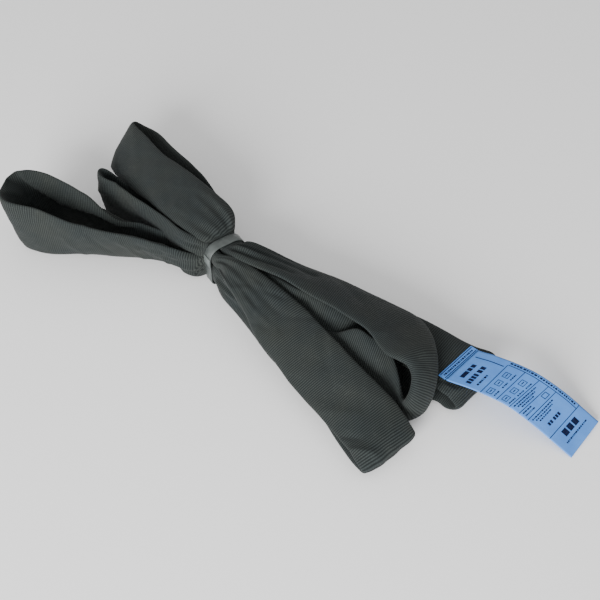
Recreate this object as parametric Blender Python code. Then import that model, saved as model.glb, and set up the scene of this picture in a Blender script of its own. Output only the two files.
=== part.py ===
"""A round sling folded into a bundle and tied at its waist.

The sling is one endless hank of yarn in one endless woven sleeve. Folded, it makes six lobes, three on
each side of the tie, and passes the tie six times. Each lobe is a route: the sleeve leaves the tie, turns
and comes back. A station on a route is the middle of the sleeve's section, the direction of its width, its
width and its thickness, all in millimetres. +Z is up, +X runs along the bundle towards the label, and
Z = 0 is the floor.
"""

import math

import bmesh
import bpy
from mathutils import Matrix, Vector

MM = 0.001
GAP = 0.3  # between neighbouring pieces
WALL = 1.2  # sleeve
CORE_CLEARANCE = 1.8  # between the sleeve's inner face and the yarn
TAPE_THICKNESS = 0.5
TAPE_CLEARANCE = 0.35

ORIGIN = Vector((71.6, -2.7, 0))  # the middle of the whole bundle, under which the part's origin lies

# The tied waist: three columns by two rows of bunched sleeve. Its axis points a little to the front of +X.
WAIST_CENTRE = (-6.5, 7.0)
WAIST_HEADING = math.radians(-21)
ALONG_WAIST = Vector((math.cos(WAIST_HEADING), math.sin(WAIST_HEADING), 0))
ACROSS_WAIST = Vector((-math.sin(WAIST_HEADING), math.cos(WAIST_HEADING), 0))
COLUMN = 12.0
LOW_ROW, HIGH_ROW = 12.2, 34.2
WAIST_HALF = 14.0  # half the length of the straight stretches under the tie
BUNCHED = (21.2, 11.3)  # width and thickness of the sleeve where it is tied
UP = (0.0, 0.0, 1.0)

SIDES = ((-1, -1), (-1, 1), (1, -1), (1, 1))  # the waist's corners, along and across

# The tie, a flat strap round the waist.
TIE_WIDTH = 8.6
TIE_THICKNESS = 0.9
TIE_HALF_Y = 19.3  # to the strap's outer face
TIE_TOP, TIE_BOTTOM = 46.2, 0.0
TIE_CORNER = 5.0
WELD = (9.4, 1.1, 9.0)  # the welded lap on the strap's near side: along, out of and up the strap
WELD_Z = 27.0

# The label and its sewn header.
LABEL_WIDTH = 44.0
LABEL_THICKNESS = 0.9
HEADER_LENGTH = 6.5
HEADER_CENTRE = (233.0, 23.2, 27.1)
HEADER_TURN = math.radians(-9)  # about Z
STITCH_RADIUS = 0.3
STITCH_ROWS = (-1.9, 1.9)  # along the header


def waist_point(along, across):
    """A point of the waist's own axes, in X and Y."""
    point = Vector((*WAIST_CENTRE, 0)) + ALONG_WAIST * along + ACROSS_WAIST * across
    return (point.x, point.y)


def front(side):
    return waist_point(side * WAIST_HALF, -COLUMN)


def middle(side):
    return waist_point(side * WAIST_HALF, 0.0)


def rear(side):
    return waist_point(side * WAIST_HALF, COLUMN)


def tied(place, row):
    """The station where a route meets the tied waist."""
    return (*place, row, UP, *BUNCHED)


# Each route runs out along its near or upper strand, round the turn and back.
# The two numbers after it are the stations where the turn begins and ends.
ROUTES = {
    "a": (
        [
            tied(front(-1), LOW_ROW),
            (-50, -9.8, 15.5, (0, -0.1, 1), 25, 11.4),
            (-75, -19.5, 19, (0, -0.2, 1), 34, 11.4),
            (-100, -31.5, 23.5, (0, -0.3, 1), 43, 11.4),
            (-130, -51, 28.5, (0, -0.2, 1), 54, 11.4),
            (-162, -65, 31, (-0.1, -0.05, 1), 59, 11.4),
            (-189, -69, 31.5, (-0.26, -0.05, 1), 60, 11.4),
            (-199, -55, 32, (-0.28, 0, 1), 60, 11.4),
            (-191, -41, 32, (-0.2, -0.05, 1), 60, 11.4),
            (-168, -35, 32, (-0.05, -0.15, 1), 58, 11.4),
            (-134, -28, 29, (0, -0.25, 1), 50, 11.4),
            (-100, -16, 22, (0, -0.25, 1), 38, 11.4),
            (-75, -3.5, 14, (0, -0.1, 1), 25, 11.4),
            (-50, 5, 11.6, UP, 20, 11.2),
            tied(middle(-1), LOW_ROW),
        ],
        5,
        9,
    ),
    "b": (
        [
            tied(front(-1), HIGH_ROW),
            (-50, 3, 34, UP, 20, 11.3),
            (-63, 7, 34.5, UP, 20, 11.4),
            (-76, 10.5, 31, UP, 26, 11.4),
            (-92, 11.5, 28.5, UP, 40, 11.4),
            (-118, 10.5, 29, UP, 53, 11.4),
            (-137, 9.1, 30.6, UP, 57, 11),
            (-146, 8.7, 30.8, UP, 58, 10.5),
            (-152, 12.2, 30.8, UP, 58, 10),
            (-152, 19.2, 30.8, UP, 58, 10),
            (-146, 22.7, 30.8, UP, 58, 10.5),
            (-137, 22.8, 30.6, UP, 57, 11),
            (-118, 23.4, 29, UP, 53, 11.4),
            (-92, 24.2, 28.5, UP, 40, 11.4),
            (-76, 23, 31, UP, 26, 11.4),
            (-63, 19.5, 34.5, UP, 20, 11.4),
            (-50, 15.5, 34, UP, 20, 11.3),
            tied(middle(-1), HIGH_ROW),
        ],
        7,
        10,
    ),
    "c": (
        [
            tied(rear(-1), HIGH_ROW),
            (-38, 33, 37.5, (0, 0.5, 0.87), 28, 11.6),
            (-62, 44, 37, (0, 0.7, 0.7), 38, 11.4),
            (-100, 56, 29.5, (0.1, 0.58, 0.81), 50, 11.4),
            (-145, 64.5, 26.5, (0.14, 0.54, 0.83), 53, 11.4),
            (-170, 69, 27.9, (0.16, 0.52, 0.84), 51, 11),
            (-179, 71, 27.9, (0.16, 0.52, 0.84), 50, 10.5),
            (-184.6, 75, 26.3, (0.16, 0.52, 0.84), 48, 10),
            (-183.4, 80.9, 23.2, (0.16, 0.52, 0.84), 45.5, 10),
            (-177, 82.9, 21.6, (0.16, 0.52, 0.84), 43, 10.5),
            (-168, 82, 21.9, (0.14, 0.51, 0.85), 43.5, 11),
            (-142, 78, 22, (0.08, 0.5, 0.86), 44, 11.4),
            (-100, 69.5, 20, (0, 0.45, 0.88), 40, 11.4),
            (-62, 53, 16, (0, 0.35, 0.93), 28, 11.6),
            (-38, 34.5, 12.6, (0, 0.1, 1), 21.5, 11.6),
            tied(rear(-1), LOW_ROW),
        ],
        6,
        9,
    ),
    "d": (
        [
            tied(front(1), HIGH_ROW),
            (34, -17.2, 34.3, (0.22, 0.8, 0.55), 30, 11),
            (61, -23.5, 31, (0.23, 0.84, 0.46), 42, 11.5),
            (104, -38, 28.5, (0.36, 0.88, 0.3), 50, 11.4),
            (146, -52, 26, (0.37, 0.9, 0.25), 52, 11.4),
            (183, -63.5, 22.5, (0.37, 0.91, 0.18), 54, 11.4),
            (204, -71.6, 20.2, (0.4, 0.91, 0.06), 55.5, 11.2),
            (213, -74.8, 19.8, (0.4, 0.91, 0.02), 56, 10.8),
            (218.6, -76.8, 16.4, (0.4, 0.91, 0), 56, 10.4),
            (218.6, -76.8, 9.6, (0.4, 0.91, 0), 56, 10.4),
            (213, -75, 6.2, (0.4, 0.91, 0), 55, 10.8),
            (204, -72.2, 6.2, (0.4, 0.91, 0), 52, 11.2),
            (186, -67, 6.2, (0.38, 0.92, 0), 45, 11.4),
            (150, -55.2, 6.2, (0.36, 0.93, 0), 35.4, 11.4),
            (100, -40.7, 6.3, (0.34, 0.94, 0), 32.4, 11.4),
            (61, -30, 8.4, (0.2, 0.95, 0.22), 26, 11.5),
            (34, -20.5, 12.2, (0.2, 0.7, 0.68), 23, 11.5),
            tied(front(1), LOW_ROW),
        ],
        7,
        10,
    ),
    "e": (
        [
            tied(rear(1), HIGH_ROW),
            (26, 16, 38.5, (0, -0.38, 0.92), 22, 11.7),
            (42, 14, 43, (0, -0.78, 0.63), 27, 11.7),
            (66, 13.5, 44, (0, -0.93, 0.37), 31, 11.4),
            (112, 15.5, 43.5, (0, -0.95, 0.32), 38, 11.4),
            (155, 17, 43.2, (-0.05, -0.95, 0.28), 42, 11.6),
            (190, 9, 42.5, (-0.45, -0.88, 0.15), 34, 13.5),
            (210, -6, 40.2, (-0.85, -0.5, 0.1), 27, 16),
            (219, -22, 31, (-0.98, 0.1, 0.15), 24, 16),
            (212, -35, 17, (-0.7, 0.2, 0.7), 20, 14),
            (195, -36.5, 10, (-0.1, 0, 1), 18, 12),
            (165, -31.5, 10.3, UP, 18.5, 12),
            (130, -22.5, 10.8, UP, 20, 12),
            (95, -14.5, 10.8, UP, 20, 12),
            (62, -9.3, 10.8, UP, 20, 12),
            (40, -4.5, 11.2, UP, 21, 12),
            (24, -0.6, 11.8, UP, 21.2, 11.6),
            tied(middle(1), LOW_ROW),
        ],
        6,
        10,
    ),
    "f": (
        [
            tied(middle(1), HIGH_ROW),
            (24, 3.5, 32, UP, 18, 10.4),
            (40, 8.8, 25.8, (0, 0.1, 1), 18, 10.6),
            (64, 7.6, 23.5, (0, 0.2, 0.97), 22, 11.4),
            (110, 6.5, 23, (0, 0.42, 0.9), 25, 11.4),
            (150, 10, 18.5, (0, 0.48, 0.88), 29, 11.4),
            (167, 14, 20.4, (0, 0.8, 0.6), 35, 11),
            (184, 20, 21.4, (0, 0.98, 0.2), 43, 11),
            (215, 23.5, 20.4, (0.12, 0.99, 0), 55, 11),
            (233, 24.4, 20.2, (0.15, 0.98, 0), 56.5, 11),
            (242, 24.5, 20, (0.16, 0.98, 0), 57, 11),
            (248, 24, 16.6, (0.17, 0.98, 0), 57, 10.6),
            (248, 24, 9.7, (0.17, 0.98, 0), 57, 10.6),
            (242, 24.5, 6.3, (0.16, 0.98, 0), 57, 11),
            (233, 24.4, 6.3, (0.15, 0.98, 0), 56.5, 11.2),
            (215, 24, 6.3, (0.12, 0.99, 0), 54, 11.4),
            (186, 27, 6.2, (0, 1, 0), 44, 11.4),
            (150, 35.5, 9.2, (0, 0.97, 0.22), 27, 11.4),
            (110, 30.5, 11.2, (0, 0.9, 0.44), 24, 11.4),
            (62, 25.5, 11.6, (0, 0.1, 1), 21.5, 11.6),
            (40, 21.3, 11.8, UP, 21.2, 11.6),
            tied(rear(1), LOW_ROW),
        ],
        10,
        13,
    ),
}

# The six passages under the tie, by column and row, with the lobes that each joins.
PASSAGES = {
    "a_to_d": (front, LOW_ROW),
    "b_to_d": (front, HIGH_ROW),
    "a_to_e": (middle, LOW_ROW),
    "b_to_f": (middle, HIGH_ROW),
    "c_to_f": (rear, LOW_ROW),
    "c_to_e": (rear, HIGH_ROW),
}
STEPS = 2  # sections between two stations of a strand
TURN_STEPS = 5  # between two stations of a turn
TAPE_STATIONS = (12, 13)  # of lobe d: the stretch of core that the tape binds

# The label's middle line after the header, down to the floor.
LABEL_ROUTE = [(252, 24, 28.6), (268, 25.5, 29), (286, 28, 26.5), (302, 30, 21.5)]
LABEL_ROUTE += [(320, 30.2, 14.5), (338, 30.5, 7.5), (352.5, 31.5, 1.4)]


def clear_scene():
    for thing in list(bpy.data.objects):
        bpy.data.objects.remove(thing, do_unlink=True)


def collection(name):
    made = bpy.data.collections.new(name)
    bpy.context.scene.collection.children.link(made)
    return made


def material(name, colour, roughness, metallic=0.0):
    made = bpy.data.materials.new(name)
    made.use_nodes = True
    shader = made.node_tree.nodes["Principled BSDF"]
    shader.inputs["Base Color"].default_value = (*colour, 1.0)
    shader.inputs["Roughness"].default_value = roughness
    shader.inputs["Metallic"].default_value = metallic
    made.diffuse_color = (*colour, 1.0)
    return made


def spline(values, t):
    """The Catmull-Rom curve through a list of vectors, at station number t."""
    i = min(int(t), len(values) - 2)
    u = t - i
    b, c = values[i], values[i + 1]
    a = values[i - 1] if i else b * 2 - c
    d = values[i + 2] if i + 2 < len(values) else c * 2 - b
    return 0.5 * (2 * b + (c - a) * u + (2 * a - 5 * b + 4 * c - d) * u**2 + (3 * b - a - 3 * c + d) * u**3)


def section_frames(stations, numbers):
    """For each station number: centre, tangent, width direction, thickness direction, width, thickness."""
    centres = [Vector(s[:3]) for s in stations]
    across = [Vector(s[3]).normalized() for s in stations]
    sizes = [Vector((s[4], s[5])) for s in stations]
    frames = []
    for t in numbers:
        ahead = spline(centres, min(t + 0.02, len(stations) - 1))
        behind = spline(centres, max(t - 0.02, 0))
        along = (ahead - behind).normalized()
        if t in (0, len(stations) - 1):
            along = ALONG_WAIST if along.x > 0 else -ALONG_WAIST
        width_way = spline(across, t)
        width_way = (width_way - along * width_way.dot(along)).normalized()
        size = spline(sizes, t)
        frames.append((spline(centres, t), along, width_way, along.cross(width_way), size[0], size[1]))
    return frames


def trimmed(frames):
    """The frames with their first and last centres drawn in by half a gap."""
    first, last = frames[0], frames[-1]
    start = (first[0] + first[1] * GAP / 2, *first[1:])
    end = (last[0] - last[1] * GAP / 2, *last[1:])
    return [start, *frames[1:-1], end]


def ring(frame, inset):
    """A flattened tube's section: two flat faces joined by round edges, inset all round."""
    centre, _, width_way, thick_way, width, thickness = frame
    half = thickness / 2 - inset
    flat = max(width / 2 - inset - half, 0.3)
    corner = half * 0.7071
    outline = [(flat, half), (flat + corner, corner), (flat + half, 0)]
    outline += [(a, -b) for a, b in reversed(outline[:2])]
    outline += [(-a, -b) for a, b in outline]
    return [(centre + width_way * a + thick_way * b) * MM for a, b in outline]


def add_rings(mesh, rings):
    return [[mesh.verts.new(p) for p in points] for points in rings]


def bridge(mesh, first, second):
    n = len(first)
    for k in range(n):
        mesh.faces.new((first[k], first[(k + 1) % n], second[(k + 1) % n], second[k]))


def finish(name, mesh, look, parts):
    bmesh.ops.recalc_face_normals(mesh, faces=mesh.faces)
    data = bpy.data.meshes.new(name)
    mesh.to_mesh(data)
    mesh.free()
    data.materials.append(look)
    data.shade_smooth()
    data.set_sharp_from_angle(angle=0.7)
    data.transform(Matrix.Translation(-ORIGIN * MM))
    made = bpy.data.objects.new(name, data)
    parts.objects.link(made)
    return made


def tube(name, frames, outer, wall, look, parts):
    """An open-ended tube, outer being how far its outside is inset from the sleeve's outside."""
    mesh = bmesh.new()
    outside = add_rings(mesh, [ring(f, outer) for f in frames])
    inside = add_rings(mesh, [ring(f, outer + wall) for f in frames])
    for k in range(len(frames) - 1):
        bridge(mesh, outside[k], outside[k + 1])
        bridge(mesh, inside[k + 1], inside[k])
    bridge(mesh, inside[0], outside[0])
    bridge(mesh, outside[-1], inside[-1])
    return finish(name, mesh, look, parts)


def rod(name, frames, inset, look, parts):
    """A solid strand, inset from the sleeve's outside."""
    mesh = bmesh.new()
    rings = add_rings(mesh, [ring(f, inset) for f in frames])
    for k in range(len(frames) - 1):
        bridge(mesh, rings[k], rings[k + 1])
    mesh.faces.new(rings[0])
    mesh.faces.new(rings[-1])
    return finish(name, mesh, look, parts)


def station_numbers(first, last, steps):
    count = (last - first) * steps
    return [first + k / steps for k in range(count + 1)]


def lobe(key, looks, parts):
    stations, turn_start, turn_end = ROUTES[key]
    end = len(stations) - 1
    spans = {"out": (0, turn_start, STEPS), "turn": (turn_start, turn_end, TURN_STEPS)}
    spans["back"] = (turn_end, end, STEPS)
    for part_name, (first, last, steps) in spans.items():
        frames = trimmed(section_frames(stations, station_numbers(first, last, steps)))
        tube(f"sleeve_{key}_{part_name}", frames, 0, WALL, looks["sleeve"], parts)
    numbers = station_numbers(0, turn_start, STEPS)[:-1] + station_numbers(turn_start, turn_end, TURN_STEPS)
    numbers += station_numbers(turn_end, end, STEPS)[1:]
    frames = trimmed(section_frames(stations, numbers))
    rod(f"core_{key}", frames, WALL + CORE_CLEARANCE, looks["yarn"], parts)


def passage(name, place, row, looks, parts):
    frames = trimmed(section_frames([tied(place(-1), row), tied(place(1), row)], [0, 1]))
    tube(f"sleeve_{name}", frames, 0, WALL, looks["sleeve"], parts)
    rod(f"core_{name}", frames, WALL + CORE_CLEARANCE, looks["yarn"], parts)


def core_tape(looks, parts):
    first, last = TAPE_STATIONS
    numbers = station_numbers(first, last, STEPS)
    frames = section_frames(ROUTES["d"][0], numbers)
    tube("core_tape", frames, WALL + TAPE_CLEARANCE, TAPE_THICKNESS, looks["tape"], parts)


def rounded_outline(half_y, bottom, top, radius):
    """A closed outline in Y and Z, its corners in three points each."""
    corners = [(half_y, top, 0), (-half_y, top, 1), (-half_y, bottom, 2), (half_y, bottom, 3)]
    outline = []
    for y, z, quarter in corners:
        way_y = 1 if y > 0 else -1
        way_z = 1 if z == top else -1
        arc = [(0.0, 1.0), (0.7071, 0.7071), (1.0, 0.0)]
        if quarter in (0, 2):
            arc.reverse()
        for a, b in arc:
            outline.append((y - way_y * radius * (1 - a), z - way_z * radius * (1 - b)))
    return outline


def waist_frame():
    return Matrix.Translation(Vector((*WAIST_CENTRE, 0)) * MM) @ Matrix.Rotation(WAIST_HEADING, 4, "Z")


def tie(looks, parts):
    mesh = bmesh.new()
    outer = rounded_outline(TIE_HALF_Y, TIE_BOTTOM, TIE_TOP, TIE_CORNER)
    t = TIE_THICKNESS
    inner = rounded_outline(TIE_HALF_Y - t, TIE_BOTTOM + t, TIE_TOP - t, TIE_CORNER - t)
    edge = TIE_WIDTH / 2
    sides = ((-edge, outer), (edge, outer), (edge, inner), (-edge, inner))
    rings = add_rings(mesh, [[Vector((x, y, z)) * MM for y, z in line] for x, line in sides])
    for k in range(4):
        bridge(mesh, rings[k], rings[(k + 1) % 4])
    mesh.transform(waist_frame())
    finish("tie_strap", mesh, looks["strap"], parts)


def block(name, centre, size, frame, look, parts, bevel=0.0):
    mesh = bmesh.new()
    bmesh.ops.create_cube(mesh, size=1.0)
    for vertex in mesh.verts:
        vertex.co = Vector([(c + v * s) * MM for c, v, s in zip(centre, vertex.co, size)])
    if bevel:
        bmesh.ops.bevel(mesh, geom=mesh.edges[:], offset=bevel * MM, segments=1, affect="EDGES")
    mesh.transform(frame)
    return finish(name, mesh, look, parts)


def tie_weld(looks, parts):
    y = -TIE_HALF_Y - GAP - WELD[1] / 2
    block("tie_weld", (0, y, WELD_Z), WELD, waist_frame(), looks["strap"], parts, bevel=0.3)


def header_way():
    """The direction in which the label leaves its header."""
    return Vector((math.cos(HEADER_TURN), math.sin(HEADER_TURN), 0))


def header_frame():
    return Matrix.Translation(Vector(HEADER_CENTRE) * MM) @ Matrix.Rotation(HEADER_TURN, 4, "Z")


def label(looks, parts):
    """A flat ribbon hanging from its header to the floor."""
    start = Vector(HEADER_CENTRE) + header_way() * (HEADER_LENGTH / 2 + GAP)
    points = [start] + [Vector(p) for p in LABEL_ROUTE]
    numbers = station_numbers(0, len(points) - 1, 2)
    mesh = bmesh.new()
    half = LABEL_WIDTH / 2
    rings = []
    for t in numbers:
        centre = spline(points, t)
        ahead = spline(points, min(t + 0.05, len(points) - 1))
        along = (ahead - spline(points, max(t - 0.05, 0))).normalized() if t else header_way()
        side = Vector((-along.y, along.x, 0)).normalized() * half
        up = along.cross(side).normalized() * LABEL_THICKNESS / 2
        corners = [centre + side + up, centre - side + up, centre - side - up, centre + side - up]
        rings.append([c * MM for c in corners])
    rings = add_rings(mesh, rings)
    for k in range(len(rings) - 1):
        bridge(mesh, rings[k], rings[k + 1])
    mesh.faces.new(rings[0])
    mesh.faces.new(rings[-1])
    finish("label", mesh, looks["label"], parts)


def label_header(looks, parts):
    size = (HEADER_LENGTH, LABEL_WIDTH, LABEL_THICKNESS)
    block("label_header", (0, 0, 0), size, header_frame(), looks["label"], parts)


def label_stitching(looks, parts):
    """The rows of stitches that sew the header down, each row one flat bar of thread."""
    z = LABEL_THICKNESS / 2 + GAP + STITCH_RADIUS
    for row, x in enumerate(STITCH_ROWS):
        size = (STITCH_RADIUS * 2, LABEL_WIDTH - 3, STITCH_RADIUS * 2)
        block(f"label_seam_{row + 1}", (x, 0, z), size, header_frame(), looks["thread"], parts)


def lobe_names(key):
    return [f"core_{key}"] + [f"sleeve_{key}_{stretch}" for stretch in ("out", "turn", "back")]


def pivot(name, place, names, parts):
    """An empty at a hinge or slide, with the pieces that move about it parented to it."""
    made = bpy.data.objects.new(name, None)
    made.location = (Vector(place) - ORIGIN) * MM
    made.empty_display_size = 0.02
    parts.objects.link(made)
    for piece in names:
        carried = bpy.data.objects[piece]
        carried.parent = made
        carried.matrix_parent_inverse = Matrix.Translation(-made.location)


def pivots(parts):
    """The free lobes swing about the outer corners of the waist, the tie slides and the label lifts."""
    outer = COLUMN + BUNCHED[1] / 2
    corner = {side: (*waist_point(side[0] * WAIST_HALF, side[1] * outer), 0) for side in SIDES}
    pivot("lobe_a_pivot", corner[(-1, -1)], lobe_names("a"), parts)
    pivot("lobe_c_pivot", corner[(-1, 1)], lobe_names("c"), parts)
    pivot("lobe_d_pivot", corner[(1, -1)], lobe_names("d") + ["core_tape"], parts)
    header = ["label_header", "label_seam_1", "label_seam_2"]
    pivot("lobe_ef_pivot", corner[(1, 1)], lobe_names("e") + lobe_names("f") + header, parts)
    pivot("label_pivot", HEADER_CENTRE, ["label"], parts)
    pivot("tie_pivot", (*WAIST_CENTRE, 0), ["tie_strap", "tie_weld"], parts)


def build():
    clear_scene()
    parts = collection("round_sling")
    looks = {
        "sleeve": material("sleeve_polyester", (0.026, 0.03, 0.03), 0.85),
        "yarn": material("core_yarn", (0.75, 0.74, 0.7), 0.8),
        "tape": material("core_tape", (0.6, 0.6, 0.55), 0.6),
        "strap": material("tie_plastic", (0.13, 0.15, 0.16), 0.4),
        "label": material("label_fabric", (0.16, 0.36, 0.68), 0.55),
        "thread": material("label_thread", (0.02, 0.04, 0.12), 0.7),
    }
    for key in ROUTES:
        lobe(key, looks, parts)
    for name, (place, row) in PASSAGES.items():
        passage(name, place, row, looks, parts)
    core_tape(looks, parts)
    tie(looks, parts)
    tie_weld(looks, parts)
    label_header(looks, parts)
    label_stitching(looks, parts)
    label(looks, parts)
    pivots(parts)


build()
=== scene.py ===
"""The looks of a round sling, folded into a bundle and tied at its waist.

The sleeve is lofted along the six lobes of the fold, station by station, round a core of yarn. All of the
routes are in millimetres and in the fold's own axes, whose place in the frame comes from the tie.
"""
import math

import bmesh
import bpy
import numpy as np
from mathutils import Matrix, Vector


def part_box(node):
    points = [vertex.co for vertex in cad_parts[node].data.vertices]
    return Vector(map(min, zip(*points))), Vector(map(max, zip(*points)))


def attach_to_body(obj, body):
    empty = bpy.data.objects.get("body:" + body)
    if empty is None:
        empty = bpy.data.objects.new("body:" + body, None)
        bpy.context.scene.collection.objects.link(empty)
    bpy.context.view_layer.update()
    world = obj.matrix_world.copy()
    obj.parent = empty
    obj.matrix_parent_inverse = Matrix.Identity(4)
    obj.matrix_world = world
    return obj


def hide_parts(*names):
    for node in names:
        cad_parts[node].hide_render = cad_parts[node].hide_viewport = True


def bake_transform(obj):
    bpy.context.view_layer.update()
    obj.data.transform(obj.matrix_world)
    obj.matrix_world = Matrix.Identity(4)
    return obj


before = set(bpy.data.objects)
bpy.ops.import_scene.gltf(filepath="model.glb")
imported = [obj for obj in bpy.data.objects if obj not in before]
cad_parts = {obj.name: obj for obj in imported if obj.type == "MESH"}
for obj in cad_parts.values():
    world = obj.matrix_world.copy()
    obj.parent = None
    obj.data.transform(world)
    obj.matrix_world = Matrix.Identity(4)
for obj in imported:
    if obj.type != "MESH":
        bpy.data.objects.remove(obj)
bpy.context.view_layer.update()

MM = 0.001

# The tied waist, in the fold's axes.
WAIST_CENTRE = np.array((-6.5, 7.0, 0.0))
WAIST_HEADING = math.radians(-21)
ALONG = np.array((math.cos(WAIST_HEADING), math.sin(WAIST_HEADING), 0.0))
ACROSS = np.array((-math.sin(WAIST_HEADING), math.cos(WAIST_HEADING), 0.0))
# How far from the tie's middle, along the waist:
ROOT = 3.6  # the lobes begin, under the tie
ROOT_MIDDLE = 5.9  # they still run straight
STRAIGHT = 8.0  # they begin to spread
GRIP_END, GRIP_FADE = 11.5, 3.0  # the cloth is no longer drawn in, and over what length that fades
TIE_HALF_WIDTH, TIE_THICKNESS = 4.9, 0.9
GRIP_HEIGHT = 23.0  # of the middle of the tied waist, above the floor
GRIP_CLEARANCE = 0.15  # between the tie's inside and the cloth
GRIP_INSET_SHARE = 0.5  # of the core's inset that is kept where the cloth is drawn in
# How far from a lobe's end at the tie:
UNGRIPPED_FROM, UNGRIPPED_OVER = 4.6, 9.0  # its pleats and creases come in, and over what length
PLEATS_FADE_FROM = 8.0  # its pleats begin to die away
UNEVEN_OVER = 25.0  # its unevenness is at its full size
FLOOR_CLEARANCE = 0.15  # under the sleeve
LABEL_FLOOR_CLEARANCE = 0.1

tie_low, tie_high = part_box("tie_strap")
# The frame's origin, in the fold's axes.
ORIGIN = (WAIST_CENTRE - np.array((tie_low + tie_high)[:]) / 2 / MM) * (1, 1, 0)

# Where the six passages lie under the tie: their two edges, across the waist and up, and their thickness.
PASSAGES = {
    "a_to_d": ((-12.8, 1.8), (-12.8, 25.8), 10.5),
    "b_to_d": ((-12.6, 27.2), (-11.7, 42.3), 10.4),
    "a_to_e": ((-1.2, 1.8), (-1.2, 17.5), 11.0),
    "b_to_f": ((-1.0, 18.5), (-1.0, 34.6), 11.0),
    "c_to_f": ((12.2, 1.8), (11.9, 33.6), 12.0),
    "c_to_e": ((-5.8, 40.9), (15.0, 39.8), 8.5),
}


def waist_point(along, across, z):
    return WAIST_CENTRE + ALONG * along + ACROSS * across + np.array((0, 0, z))


def root(name, side, swapped=False):
    """The stations where a route leaves the tie, outwards."""
    first, second, thickness = PASSAGES[name]
    if swapped:
        first, second = second, first
    places = [side * along for along in (ROOT, ROOT_MIDDLE, STRAIGHT)]
    return [(waist_point(along, *first), waist_point(along, *second), thickness) for along in places]


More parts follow.
